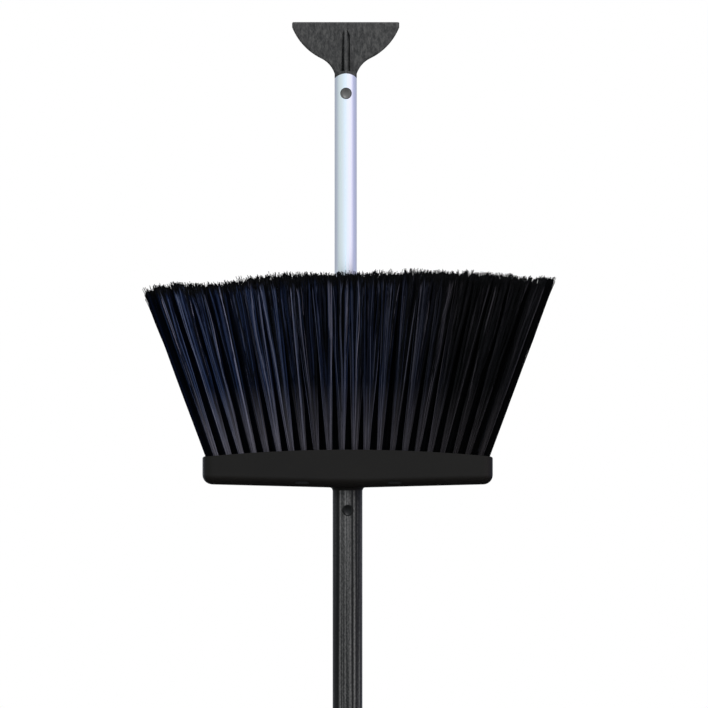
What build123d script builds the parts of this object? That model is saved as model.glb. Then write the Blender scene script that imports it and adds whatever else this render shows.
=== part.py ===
from build123d import *
import os
from math import radians, sin, sqrt, tan

# An upright dust pan and its broom. The pan stands on the floor and its folding tube
# handle ends in a flat fan-shaped grip. The broom is stored head up in front of that
# handle, held by a clip, with its end cap on the floor.
# Frame: +Z up, the floor at Z = 0, the pan handle's axis on X = 0, Y = 0.
# The broom stands towards -Y and the pan opens towards +Y. All sizes are in millimetres.

# ---- overall places ----
set_height = 1040.0        # floor to the flat top of the fan grip
broom_offset = 48.0        # pan handle axis to broom axis, along -Y
broom_rim_z = 675.0        # floor to the middle of the broom head's rim
clip_z = 400.0             # floor to the middle of the broom clip

# ---- fits ----
slip = 0.15                # radial clearance of a plug in its tube or a button in its hole
seat_gap = 0.1             # clearance between pieces that stay together
running_gap = 0.3          # clearance between pieces that move past each other
pin_gap = 0.05             # radial clearance of the hinge pin in the knuckle

# ---- pan handle tube and fan grip ----
pan_tube_od = 19.0
pan_tube_wall = 1.2
grip_width = 91.5
grip_height = 44.0
grip_thickness = 6.0
grip_side_drop = 4.5       # straight part of the side below the flat top
grip_knee_half_width = 21.0
grip_knee_drop = 31.0      # from the top to where the sides turn into the neck
grip_side_bulge = 3.4      # how far the sides bow outwards
grip_edge_radius = 1.4
grip_corner_radius = 1.2
grip_shoulder = 2.0        # round disc that sits on the tube's end
saddle_depth = 4.0         # the tube's end is this much lower at its sides than in front
gusset_thickness = 2.4
gusset_top_drop = 6.5
channel_width = 2.4        # groove on each side of the gusset
channel_depth = 2.4
channel_point = 5.0        # height of its pointed top

# ---- snap-button joints ----
button_radius = 4.4
pan_button_sunk = 0.8      # the button's face below the tube's outside
broom_button_sunk = 0.3
button_dish_depth = 1.0
button_dish_radius = 9.0
button_lip = 1.4           # retaining lips above and below the button, inside the plug
button_lip_thickness = 1.0
button_travel = 1.9
button_from_end = 17.0     # tube end to button axis
tube_hole_play = 0.5       # radial play between the button and the tube's hole
plug_length = 42.0
plug_wall = 1.8
plug_end_wall = 3.0
spring_width = 6.0
spring_thickness = 0.5
spring_reach = 12.0        # button axis to the start of the spring's bend

# ---- broom head ----
head_half_length = 123.3
head_half_thickness = 22.6
head_arch = 6.0            # rim is this much lower at its ends
head_end_depth = 29.5      # from the rim's middle down to the ends of the underside
head_middle_depth = 32.3
head_corner_radius = 8.2
head_edge_radius = 7.8
rim_corner_radius = 2.0
cover_wall = 2.0
block_recess = 1.5         # the tufted face lies this far inside the rim
collar_height = 2.5        # also the radius of its hollow side
collar_lip = 0.2           # its lower end stands this far outside the tube
latch_x = 39.4
latch_width = 11.5
latch_height = 2.6
latch_rise = 4.4           # window's middle above the underside's middle
latch_depth = 6.0
barb_sunk = 2.6            # the barb's end below the head's front face

# ---- bristle tufts ----
tuft_columns = 23
tuft_span = 233.2          # first to last tuft of the outer rows, at the block's face
tuft_rows = 4
row_pitch = 10.0
tuft_root_radius = 2.7
tuft_tip_radius = 6.0
tuft_hole_radius = 3.1
tuft_hole_depth = 14.0
tuft_lean = 19.8           # degrees, of the end tufts, along X
row_lean = 3.8             # degrees, of the outer rows, along Y
trim_middle = 149.5        # rim's middle to the bristle tips
trim_drop = 5.0            # how much lower the tips are at the ends
staple_height = 0.9
staple_width = 1.6

# ---- broom tube and end cap ----
broom_tube_od = 25.4
broom_tube_wall = 1.0
broom_plug_wall = 2.2
cap_tab_width = 20.0
cap_tab_thickness = 9.0
cap_tab_height = 24.0
cap_tab_corner = 6.0
cap_collar_height = 12.0
cap_plug_length = 30.0
hang_hole_radius = 4.5
hang_hole_z = 12.0

# ---- broom clip ----
clip_height = 24.0
clip_ring_wall = 3.2
clip_jaw_wall = 2.8
clip_mouth_width = 19.6
clip_arm_thickness = 8.0
clip_bead_radius = 2.2
clip_slit = 1.6
clip_lug_thickness = 5.2
clip_lug_reach = 11.0
clip_screw_radius = 2.0
clip_head_radius = 3.6
clip_head_height = 2.6
clip_slot_width = 1.0
clip_nut_radius = 4.0
clip_nut_height = 3.2

# ---- dust pan ----
pan_half_width = 140.0
pan_rear_y = -20.0
deck_front_y = 95.0
pan_front_y = 200.0
deck_z = 98.0
pan_wall = 2.6
front_wall_height = 14.0
pan_rear_radius = 12.0
pan_edge_radius = 1.0
heel_half_width = 45.0
heel_reach = 11.0
heel_height = 12.0
tongue_reach = 10.0
tongue_low = 1.0
tongue_high = 2.4
lip_reach = 16.0           # rubber lip beyond the pan's tongue
lip_thickness = 3.6
lip_edge = 0.6

# ---- comb on the pan's deck ----
comb_half_length = 110.0
comb_height = 4.0
comb_bar_depth = 8.0
comb_tooth_pitch = 6.0
comb_tooth_root = 3.2
comb_tooth_tip = 1.6
comb_tooth_length = 14.0
comb_peg_radius = 2.0
comb_peg_spacing = 90.0

# ---- handle hinge ----
plate_half_width = 44.0
plate_half_depth = 20.0
plate_thickness = 4.0
plate_corner = 5.0
knuckle_radius = 11.0
knuckle_half_width = 15.0
knuckle_floor_gap = 3.0
ear_thickness = 6.0
ear_gap = 0.4
ear_radius = 12.0
pin_radius = 3.0
pin_head_radius = 5.0
pin_head_height = 2.0
pin_cap_height = 3.2
pin_cap_crown = 1.0
socket_collar_radius = 12.0
socket_collar_height = 10.0
socket_neck_height = 15.0
socket_neck_width = 18.0
socket_neck_depth = 16.0
stop_reach = 8.0
stop_half_width = 11.0
stop_height = 7.0
plate_screw_x = 34.0
plate_screw_y = 12.0
plate_screw_radius = 1.5
plate_screw_head_radius = 3.0
plate_screw_head_height = 2.0
plate_screw_slot_width = 0.6
plate_screw_slot_reach = 2.1
plate_screw_length = 9.0
boss_radius = 4.0
boss_height = 8.0

# ---- worked out from the sizes above ----
pivot_z = deck_z + plate_thickness + knuckle_floor_gap + knuckle_radius
pan_tube_bottom = pivot_z + socket_neck_height + socket_collar_height
pan_tube_top = set_height - grip_height
broom_tube_bottom = cap_tab_height + cap_collar_height
broom_tube_top = broom_rim_z - head_middle_depth - collar_height
collar_radius = broom_tube_od / 2 + collar_lip + collar_height
row_half_span = row_pitch * (tuft_rows - 1) / 2
tuft_pitch = tuft_span / (tuft_columns - 1)

ON_FLOOR = (Align.CENTER, Align.CENTER, Align.MIN)
HANGING = (Align.CENTER, Align.CENTER, Align.MAX)
AT_BROOM = Pos(0, -broom_offset, 0)


def along_y(radius, length, align=Align.CENTER):
    """A cylinder whose axis is Y; Align.MAX ends it at Y = 0, coming from -Y."""
    flip = {Align.CENTER: Align.CENTER, Align.MIN: Align.MAX, Align.MAX: Align.MIN}[align]
    return Rot(90, 0, 0) * Cylinder(radius, length, align=(Align.CENTER, Align.CENTER, flip))


def along_x(radius, low, high):
    """A cylinder on the X axis from low to high."""
    return Pos(low, 0, 0) * Rot(0, 90, 0) * Cylinder(radius, high - low, align=ON_FLOOR)


def block(x_low, x_high, y_low, y_high, z_low, z_high):
    size = Box(x_high - x_low, y_high - y_low, z_high - z_low, align=(Align.MIN,) * 3)
    return Pos(x_low, y_low, z_low) * size


def side_section(points, half_width):
    """A (Y, Z) outline, extruded to both sides along X."""
    section = Plane.YZ * make_face(Polyline(*points, close=True))
    return extrude(section, half_width, both=True)


class SnapFit:
    """Radii of one snap-button joint: a hollow plug in a tube, and the button in both."""

    def __init__(self, tube_od, tube_wall, wall_of_plug, sunk):
        self.tube = tube_od / 2
        self.button_face = self.tube - sunk
        self.tube_bore = self.tube - tube_wall
        self.plug = self.tube_bore - slip
        self.plug_bore = self.plug - wall_of_plug
        self.lip_face = sqrt(self.plug_bore**2 - button_radius**2) - seat_gap
        self.lip_back = self.lip_face - button_lip_thickness
        self.seat_face = sqrt(self.plug_bore**2 - (spring_width / 2) ** 2) - seat_gap


pan_fit = SnapFit(pan_tube_od, pan_tube_wall, plug_wall, pan_button_sunk)
broom_fit = SnapFit(broom_tube_od, broom_tube_wall, broom_plug_wall, broom_button_sunk)


def tube(fit, low, high, holes):
    """A tube on the Z axis with button holes through its -Y wall at the given heights."""
    made = Cylinder(fit.tube, high - low, align=ON_FLOOR)
    made -= Cylinder(fit.tube_bore, high - low, align=ON_FLOOR)
    made = Pos(0, 0, low) * made
    for z in holes:
        made -= Pos(0, 0, z) * along_y(button_radius + tube_hole_play, 2 * fit.tube, Align.MAX)
    return made


def plug(fit):
    """The hollow plug that a tube slides over. It hangs down from Z = 0, the tube's end."""
    made = Cylinder(fit.plug, plug_length, align=HANGING)
    made -= Pos(0, 0, -plug_end_wall) * Cylinder(fit.plug_bore, plug_length, align=HANGING)
    hole = along_y(button_radius + slip, 2 * fit.tube, Align.MAX)
    return made - Pos(0, 0, -button_from_end) * hole


def button(fit):
    """The button on the -Y side, its axis on Z = 0: curved like the tube and dished."""
    top = fit.button_face
    stem = Pos(0, -fit.lip_back, 0) * along_y(button_radius, 2 * fit.tube, Align.MAX)
    stem &= Cylinder(top, 4 * button_radius)
    lips = block(
        -button_radius, button_radius, -fit.lip_face, -fit.lip_back,
        -button_radius - button_lip, button_radius + button_lip,
    )
    dish = Pos(0, -top - button_dish_radius + button_dish_depth, 0) * Sphere(button_dish_radius)
    return stem + lips - dish


def hairpin(fit):
    """The leaf spring behind the button: two legs and a round bend, its bend downwards."""
    front = -fit.lip_back + seat_gap / 2
    back = fit.seat_face
    middle = (front + back) / 2
    bend = (back - front) / 2
    leg_top = button_radius + button_lip

    def stadium(radius):
        legs = block(
            -spring_width / 2, spring_width / 2, middle - radius, middle + radius,
            -spring_reach, leg_top,
        )
        return legs + Pos(0, middle, -spring_reach) * along_x(
            radius, -spring_width / 2, spring_width / 2
        )

    return stadium(bend) - stadium(bend - spring_thickness)


# ---- pan handle ----
def saddle():
    """Everything below the arched seat between pan tube and grip. The seat's crown is at
    Z = 0, and the arch keeps the fan square to the tube."""
    reach = pan_fit.tube
    radius = (reach**2 + saddle_depth**2) / (2 * saddle_depth)
    below = block(-radius, radius, -2 * reach, 2 * reach, -set_height, -radius)
    return below + Pos(0, 0, -radius) * along_y(radius, 4 * reach)


def channels():
    """The two grooves beside the gusset in the grip's front face, cut to their depth."""
    near = gusset_thickness / 2
    far = near + channel_width
    groove = Polyline(
        (near, -gusset_top_drop), (far, -gusset_top_drop - channel_point),
        (far, -grip_height), (near, -grip_height), close=True,
    )
    cut = extrude(Plane.XZ * make_face(groove), channel_depth, both=True)
    cut = Pos(0, -grip_thickness / 2, 0) * cut
    return cut + mirror(cut, Plane.YZ)


def fan_grip():
    """Flat fan-shaped grip with a gusset on each face, on a snap plug."""
    half = grip_width / 2
    corner = (half, -grip_side_drop)
    knee = (grip_knee_half_width, -grip_knee_drop)
    neck = (pan_fit.tube, -grip_height)
    with BuildSketch(Plane.XZ) as outline:
        with BuildLine():
            Polyline((0, 0), (half, 0), corner)
            side = SagittaArc(corner, knee, grip_side_bulge)
            TangentArc(knee, neck, tangent=side % 1)
            Line(neck, (0, -grip_height))
            mirror(about=Plane.YZ)
        make_face()
    plate = extrude(outline.sketch, grip_thickness / 2, both=True)
    plate = fillet(plate.edges().filter_by(Axis.Y).group_by(Axis.Z)[-1], grip_corner_radius)
    plate = fillet(plate.faces().filter_by(Axis.Y).edges(), grip_edge_radius)
    plate -= [channels(), mirror(channels(), Plane.XZ)]
    reach = pan_fit.tube
    gusset = side_section(
        [
            (0, -gusset_top_drop),
            (grip_thickness / 2, -gusset_top_drop),
            (reach, -grip_height + grip_shoulder),
            (reach, -grip_height),
            (0, -grip_height),
        ],
        gusset_thickness / 2,
    )
    shoulder = Pos(0, 0, grip_shoulder) * Cylinder(
        reach, grip_shoulder + saddle_depth, align=HANGING
    )
    shoulder -= saddle()
    shoulder += Pos(0, 0, -saddle_depth) * Cylinder(pan_fit.plug, saddle_depth, align=ON_FLOOR)
    body = plate + gusset + mirror(gusset, Plane.XZ) + Pos(0, 0, -grip_height) * shoulder
    body += Pos(0, 0, -grip_height) * plug(pan_fit)
    return Pos(0, 0, set_height) * body


def pan_tube(*holes):
    return tube(pan_fit, pan_tube_bottom, pan_tube_top, holes) & Pos(0, 0, pan_tube_top) * saddle()


def broom_clip():
    """A clamp ring on the pan tube and a springy jaw for the broom tube."""
    ring_bore = pan_fit.tube + seat_gap
    ring = ring_bore + clip_ring_wall
    jaw_bore = broom_fit.tube + running_gap
    jaw = jaw_bore + clip_jaw_wall
    lug_half = clip_slit / 2 + clip_lug_thickness
    half_height = clip_height / 2
    body = Cylinder(ring, clip_height)
    body += AT_BROOM * Cylinder(jaw, clip_height)
    arm_half = clip_arm_thickness / 2
    body += block(-arm_half, arm_half, -broom_offset, 0, -half_height, half_height)
    body += block(-lug_half, lug_half, 0, ring + clip_lug_reach, -half_height, half_height)
    body -= Cylinder(ring_bore, clip_height)
    body -= AT_BROOM * Cylinder(jaw_bore, clip_height)
    body -= block(
        -clip_slit / 2, clip_slit / 2, 0, ring + clip_lug_reach, -half_height, half_height
    )
    mouth_half = clip_mouth_width / 2
    middle = (jaw_bore + jaw) / 2
    mouth_y = -sqrt(middle**2 - mouth_half**2)
    mouth = block(-mouth_half, mouth_half, -2 * jaw, mouth_y, -half_height, half_height)
    body -= AT_BROOM * mouth
    bead_x = mouth_half + clip_bead_radius / 2
    bead_y = -broom_offset - sqrt((jaw + clip_bead_radius / 2) ** 2 - bead_x**2)
    for side in (-1, 1):
        body += Pos(side * bead_x, bead_y, 0) * Cylinder(clip_bead_radius, clip_height)
    screw_y = ring + clip_lug_reach / 2
    body -= Pos(0, screw_y, 0) * along_x(clip_screw_radius + slip, -lug_half, lug_half)
    return Pos(0, 0, clip_z) * body


def clip_screw_place():
    return Pos(0, pan_fit.tube + seat_gap + clip_ring_wall + clip_lug_reach / 2, clip_z)


def clip_screw():
    lug_half = clip_slit / 2 + clip_lug_thickness
    shank = along_x(clip_screw_radius, -lug_half, lug_half + clip_nut_height)
    head = along_x(clip_head_radius, -lug_half - clip_head_height, -lug_half)
    slot = block(
        -lug_half - clip_head_height, -lug_half - clip_head_height / 2,
        -clip_head_radius, clip_head_radius, -clip_slot_width / 2, clip_slot_width / 2,
    )
    return clip_screw_place() * (shank + head - slot)


def clip_nut():
    lug_half = clip_slit / 2 + clip_lug_thickness
    hexagon = Plane.YZ.offset(lug_half) * RegularPolygon(clip_nut_radius, 6)
    nut = extrude(hexagon, clip_nut_height)
    nut -= along_x(clip_screw_radius + pin_gap, lug_half, lug_half + clip_nut_height)
    return clip_screw_place() * nut


def handle_socket():
    """Snap plug, collar, neck and the hinge knuckle, with the lug that stops it upright."""
    knuckle = along_x(knuckle_radius, -knuckle_half_width, knuckle_half_width)
    neck_top = socket_neck_height
    body = knuckle + block(
        -socket_neck_width / 2, socket_neck_width / 2,
        -socket_neck_depth / 2, socket_neck_depth / 2, 0, neck_top,
    )
    body += Pos(0, 0, neck_top) * Cylinder(
        socket_collar_radius, socket_collar_height, align=ON_FLOOR
    )
    body += block(
        -stop_half_width, stop_half_width, -knuckle_radius - stop_reach, 0,
        -stop_height / 2, stop_height / 2,
    )
    body -= along_x(pin_radius + pin_gap, -knuckle_half_width, knuckle_half_width)
    body += Pos(0, 0, neck_top + socket_collar_height) * Rot(0, 180, 0) * plug(pan_fit)
    return Pos(0, 0, pivot_z) * body


# ---- dust pan ----
def pan_body():
    """One moulding: floor, side walls, rear wall, deck, heel and screw bosses."""
    corners = [
        (pan_rear_y, 0), (pan_front_y, 0), (pan_front_y, front_wall_height),
        (deck_front_y, deck_z), (pan_rear_y, deck_z),
    ]
    shell = side_section(corners, pan_half_width)
    rear = shell.edges().filter_by(Axis.X).sort_by(Axis.Y)[:2]
    rear += shell.faces().sort_by(Axis.Y)[0].edges().filter_by(Axis.Z)
    shell = fillet(rear, pan_rear_radius)
    inside_rear = pan_rear_y + pan_wall
    inside = side_section(
        [
            (inside_rear, pan_wall), (pan_front_y, pan_wall),
            (pan_front_y, 2 * deck_z), (deck_front_y, 2 * deck_z),
            (deck_front_y, deck_z - pan_wall), (inside_rear, deck_z - pan_wall),
        ],
        pan_half_width - pan_wall,
    )
    rear_face = inside.faces().sort_by(Axis.Y)[0]
    inside = fillet(rear_face.edges(), pan_rear_radius - pan_wall)
    body = shell - inside
    heel = block(
        -heel_half_width, heel_half_width, pan_rear_y - heel_reach,
        pan_rear_y + pan_wall, 0, heel_height,
    )
    heel = fillet(heel.edges().group_by(Axis.Y)[0].filter_by(Axis.Z), heel_reach / 2)
    heel = fillet(heel.faces().sort_by(Axis.Z)[-1].edges().filter_by(Axis.X)[:1], pan_edge_radius)
    body += heel
    body += block(
        -pan_half_width, pan_half_width, pan_front_y - pan_wall,
        pan_front_y + tongue_reach, tongue_low, tongue_high,
    )
    for x, y in plate_screw_places():
        boss = Cylinder(boss_radius, boss_height, align=HANGING)
        body += Pos(x, y, deck_z - pan_wall) * boss
    for x, y in plate_screw_places():
        pilot = Cylinder(plate_screw_radius + pin_gap, plate_screw_length, align=HANGING)
        body -= Pos(x, y, deck_z) * pilot
    for x in comb_peg_places():
        peg_y = deck_front_y - comb_bar_depth / 2
        body -= Pos(x, peg_y, deck_z) * Cylinder(
            comb_peg_radius + slip, 2 * pan_wall, align=HANGING
        )
    return body


def pan_lip():
    """Rubber strip that grips the pan's tongue and tapers to a thin edge on the floor."""
    back = pan_front_y
    tongue_end = back + tongue_reach
    tip = tongue_end + lip_reach
    strip = side_section(
        [
            (back, 0), (tip, 0), (tip, lip_edge),
            (tongue_end + tongue_high, lip_thickness), (back, lip_thickness),
        ],
        pan_half_width,
    )
    return strip - side_section(
        [
            (back, tongue_low - seat_gap), (tongue_end + seat_gap, tongue_low - seat_gap),
            (tongue_end + seat_gap, tongue_high + seat_gap), (back, tongue_high + seat_gap),
        ],
        pan_half_width,
    )


def comb_peg_places():
    return (-comb_peg_spacing, 0, comb_peg_spacing)


def bristle_comb():
    """A bar of short teeth under the deck's front edge, for combing the broom clean."""
    top = deck_z - pan_wall - seat_gap
    bar = block(
        -comb_half_length, comb_half_length, deck_front_y - comb_bar_depth, deck_front_y,
        top - comb_height, top,
    )
    teeth = int(2 * (comb_half_length - comb_tooth_root) / comb_tooth_pitch) + 1
    root, tip = comb_tooth_root / 2, comb_tooth_tip / 2
    for i in range(teeth):
        x = (i - (teeth - 1) / 2) * comb_tooth_pitch
        outline = Polyline(
            (x - root, deck_front_y), (x + root, deck_front_y),
            (x + tip, deck_front_y + comb_tooth_length),
            (x - tip, deck_front_y + comb_tooth_length), close=True,
        )
        tooth = extrude(make_face(outline), comb_height)
        bar += Pos(0, 0, top - comb_height) * tooth
    for x in comb_peg_places():
        peg = Cylinder(comb_peg_radius, pan_wall + seat_gap, align=ON_FLOOR)
        bar += Pos(x, deck_front_y - comb_bar_depth / 2, top) * peg
    return bar


def plate_screw_places():
    return [(x, y) for x in (-plate_screw_x, plate_screw_x) for y in (-plate_screw_y, plate_screw_y)]


def hinge_bracket():
    """Base plate on the pan's deck, two ears for the pin, and the upright stop."""
    plate = block(
        -plate_half_width, plate_half_width, -plate_half_depth, plate_half_depth,
        deck_z, deck_z + plate_thickness,
    )
    plate = fillet(plate.edges().filter_by(Axis.Z), plate_corner)
    plate_top = deck_z + plate_thickness
    inner = knuckle_half_width + ear_gap
    for low, high in ((-inner - ear_thickness, -inner), (inner, inner + ear_thickness)):
        plate += block(low, high, -ear_radius, ear_radius, plate_top, pivot_z)
        plate += Pos(0, 0, pivot_z) * along_x(ear_radius, low, high)
    stop_top = pivot_z - stop_height / 2 - seat_gap
    stop_back = -knuckle_radius - stop_reach
    plate += block(
        -stop_half_width, stop_half_width, stop_back, -knuckle_radius - ear_gap,
        plate_top, stop_top,
    )
    outer = inner + ear_thickness
    plate -= Pos(0, 0, pivot_z) * along_x(pin_radius + pin_gap / 2, -outer, outer)
    for x, y in plate_screw_places():
        hole = Cylinder(plate_screw_radius + slip, plate_thickness, align=ON_FLOOR)
        plate -= Pos(x, y, deck_z) * hole
    return plate


def bracket_screws():
    """Four pan-head screws with a cross slot."""
    screw = Cylinder(plate_screw_radius, plate_screw_length, align=HANGING)
    head = Cylinder(plate_screw_head_radius, plate_screw_head_height, align=ON_FLOOR)
    head = fillet(head.edges().sort_by(Axis.Z)[-1:], plate_screw_head_height / 3)
    arm = plate_screw_slot_reach
    slot_half = plate_screw_slot_width / 2
    low, high = plate_screw_head_height / 2, plate_screw_head_height
    head -= block(-arm, arm, -slot_half, slot_half, low, high)
    head -= block(-slot_half, slot_half, -arm, arm, low, high)
    screw += head
    top = deck_z + plate_thickness
    return Compound([Pos(x, y, top) * screw for x, y in plate_screw_places()])


def hinge_pin():
    outer = knuckle_half_width + ear_gap + ear_thickness
    pin = along_x(pin_radius, -outer, outer + pin_cap_height - seat_gap)
    head = along_x(pin_head_radius, -outer - pin_head_height, -outer)
    head = fillet(head.edges().sort_by(Axis.X)[:1], pin_head_height / 2)
    return Pos(0, 0, pivot_z) * (pin + head)


def pin_cap():
    outer = knuckle_half_width + ear_gap + ear_thickness
    cap = along_x(pin_head_radius, outer, outer + pin_cap_height + pin_cap_crown)
    cap = fillet(cap.edges().sort_by(Axis.X)[-1:], pin_cap_crown)
    cap -= along_x(pin_radius + pin_gap / 2, outer, outer + pin_cap_height)
    return Pos(0, 0, pivot_z) * cap


# ---- broom ----
def rim_drop(x):
    """How much lower the arched rim lies at x than at its middle."""
    return head_arch * (x / head_half_length) ** 2


def head_shape(inset, top):
    """The head's rounded outer shape, made smaller all round by inset and ending at an
    arch whose middle is at height top above the rim's middle."""
    half = head_half_length - inset
    end_low = -head_end_depth + inset
    middle_low = -head_middle_depth + inset
    end_top = top - head_arch
    flat = collar_radius
    with BuildSketch(Plane.XZ) as outline:
        with BuildLine():
            ThreePointArc((-half, end_top), (0, top), (half, end_top))
            Polyline(
                (half, end_top), (half, end_low), (flat, middle_low), (-flat, middle_low),
                (-half, end_low), (-half, end_top),
            )
        make_face()
        ends = [v for v in outline.vertices() if abs(abs(v.X) - half) < 0.01 and v.Y < end_top - 1]
        fillet(ends, head_corner_radius - inset)
    body = extrude(outline.sketch, head_half_thickness - inset, both=True)
    flats = body.faces().filter_by(Axis.Y)
    edges = [e for e in flats.edges() if e.center().Z < end_top - 1]
    return fillet(edges, head_edge_radius - inset)


def latch_box(clearance, depth_from, depth_to, side_x, side_y):
    """A box at one latch window, in the head's own frame."""
    half_width = latch_width / 2 - clearance
    half_height = latch_height / 2 - clearance
    z = -head_middle_depth + latch_rise
    y_low, y_high = sorted((side_y * depth_from, side_y * depth_to))
    x = side_x * latch_x
    return block(x - half_width, x + half_width, y_low, y_high, z - half_height, z + half_height)


LATCHES = [(side_x, side_y) for side_x in (-1, 1) for side_y in (-1, 1)]


def rim_corner():
    """What is rounded off the +X end of the rim."""
    inner = head_half_length - rim_corner_radius
    low = -head_arch - rim_corner_radius
    corner = block(
        inner, head_half_length, -head_half_thickness, head_half_thickness,
        low, low + 2 * rim_corner_radius,
    )
    return corner - Pos(inner, 0, low) * along_y(rim_corner_radius, 2 * head_half_thickness)


def head_cover():
    """The outer shell with its neck collar and snap plug."""
    cover = head_shape(0, 0) - head_shape(cover_wall, head_arch)
    cover -= [rim_corner(), mirror(rim_corner(), Plane.YZ)]
    for side_x, side_y in LATCHES:
        inner = head_half_thickness - latch_depth
        cover -= latch_box(0, inner, head_half_thickness + 1, side_x, side_y)
    low = -head_middle_depth - collar_height
    collar = Cylinder(collar_radius, collar_height + cover_wall, align=ON_FLOOR)
    collar -= Torus(collar_radius, collar_height)
    cover += Pos(0, 0, low) * collar
    cover += Pos(0, 0, low) * plug(broom_fit)
    return Pos(0, -broom_offset, broom_rim_z) * cover


def tuft_places():
    """For each row, the (x, y) of each tuft where it leaves the block's face. Every
    other row, the front one first, has one tuft fewer and stands half a pitch over."""
    rows = []
    for row in range(tuft_rows):
        y = row * row_pitch - row_half_span
        count = tuft_columns - (row + 1) % 2
        first = -(count - 1) / 2 * tuft_pitch
        rows.append([(first + i * tuft_pitch, y) for i in range(count)])
    return rows


def tuft_plane(x, y):
    """The tuft's foot on the block's face, its Z along the tuft."""
    lean_x = radians(tuft_lean) * x / (tuft_span / 2)
    lean_y = radians(row_lean) * y / row_half_span
    foot = (x, y, -block_recess - rim_drop(x))
    return Plane(origin=foot, x_dir=(1, 0, -tan(lean_x)), z_dir=(tan(lean_x), tan(lean_y), 1))


def tuft(x, y):
    """One bristle tuft: a slim cone from the bottom of its hole to its trimmed tip."""
    plane = tuft_plane(x, y)
    root = -tuft_hole_depth + staple_height
    tip_z = trim_middle - trim_drop * (x / head_half_length) ** 2
    length = (tip_z - plane.origin.Z) / plane.z_dir.Z - root
    return plane * Pos(0, 0, root) * Cone(tuft_root_radius, tuft_tip_radius, length, align=ON_FLOOR)


def tuft_block():
    """The drilled block inside the cover, with a barb in each latch window."""
    body = head_shape(cover_wall + slip, -block_recess)
    drills = []
    for x, y in sum(tuft_places(), []):
        drill = Cylinder(tuft_hole_radius, tuft_hole_depth + 2 * block_recess, align=ON_FLOOR)
        drills.append(tuft_plane(x, y) * Pos(0, 0, -tuft_hole_depth) * drill)
    body -= drills
    for side_x, side_y in LATCHES:
        inner = head_half_thickness - 2 * latch_depth
        barb = latch_box(slip, inner, head_half_thickness - barb_sunk, side_x, side_y)
        body += barb
    return Pos(0, -broom_offset, broom_rim_z) * body


def tuft_staples():
    """The flat wire anchor at the bottom of every hole."""
    bars = []
    for x, y in sum(tuft_places(), []):
        bar = Box(
            2 * (tuft_hole_radius - 2 * seat_gap), staple_width, staple_height - seat_gap,
            align=ON_FLOOR,
        )
        bars.append(tuft_plane(x, y) * Pos(0, 0, -tuft_hole_depth) * bar)
    return Pos(0, -broom_offset, broom_rim_z) * Compound(bars)


def end_cap():
    """Plug, flush collar and a flat tab with the hanging hole, standing on the floor."""
    half = cap_tab_width / 2
    collar = Pos(0, 0, cap_tab_height) * Cylinder(
        broom_fit.tube, cap_collar_height, align=ON_FLOOR
    )
    collar = fillet(collar.edges().sort_by(Axis.Z)[:1], cap_tab_corner / 2)
    tab = block(
        -half, half, -cap_tab_thickness / 2, cap_tab_thickness / 2,
        0, cap_tab_height + cap_collar_height / 2,
    )
    tab = fillet(tab.edges().filter_by(Axis.Y).group_by(Axis.Z)[0], cap_tab_corner)
    inner_plug = Pos(0, 0, broom_tube_bottom) * Cylinder(
        broom_fit.plug, cap_plug_length, align=ON_FLOOR
    )
    inner_plug -= Pos(0, 0, broom_tube_bottom) * Cylinder(
        broom_fit.plug_bore, cap_plug_length, align=ON_FLOOR
    )
    hole = Pos(0, 0, hang_hole_z) * along_y(hang_hole_radius, cap_tab_width)
    return AT_BROOM * (collar + tab + inner_plug - hole)


def button_heights():
    grip = pan_tube_top - button_from_end
    socket = pan_tube_bottom + button_from_end
    broom = broom_tube_top - button_from_end
    return grip, socket, broom


def parts():
    grip_z, socket_z, broom_z = button_heights()
    turned = Rot(0, 180, 0)
    made = {
        "pan_body": pan_body(),
        "pan_lip": pan_lip(),
        "bristle_comb": bristle_comb(),
        "hinge_bracket": hinge_bracket(),
        "bracket_screws": bracket_screws(),
        "hinge_pin": hinge_pin(),
        "pin_cap": pin_cap(),
        "handle_socket": handle_socket(),
        "socket_button": Pos(0, 0, socket_z) * button(pan_fit),
        "socket_spring": Pos(0, 0, socket_z) * turned * hairpin(pan_fit),
        "pan_tube": pan_tube(socket_z, grip_z),
        "fan_grip": fan_grip(),
        "grip_button": Pos(0, 0, grip_z) * button(pan_fit),
        "grip_spring": Pos(0, 0, grip_z) * hairpin(pan_fit),
        "broom_clip": broom_clip(),
        "clip_screw": clip_screw(),
        "clip_nut": clip_nut(),
        "end_cap": end_cap(),
        "broom_tube": AT_BROOM * tube(broom_fit, broom_tube_bottom, broom_tube_top, (broom_z,)),
        "broom_button": AT_BROOM * Pos(0, 0, broom_z) * button(broom_fit),
        "broom_spring": AT_BROOM * Pos(0, 0, broom_z) * hairpin(broom_fit),
        "head_cover": head_cover(),
        "tuft_block": tuft_block(),
        "tuft_staples": tuft_staples(),
    }
    for number, places in enumerate(tuft_places(), start=1):
        row = Compound([tuft(x, y) for x, y in places])
        made[f"tuft_row_{number}"] = Pos(0, -broom_offset, broom_rim_z) * row
    return made


os.makedirs("parts", exist_ok=True)
for name, shape in parts().items():
    export_step(shape, f"parts/{name}.step")
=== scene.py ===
import math

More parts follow.
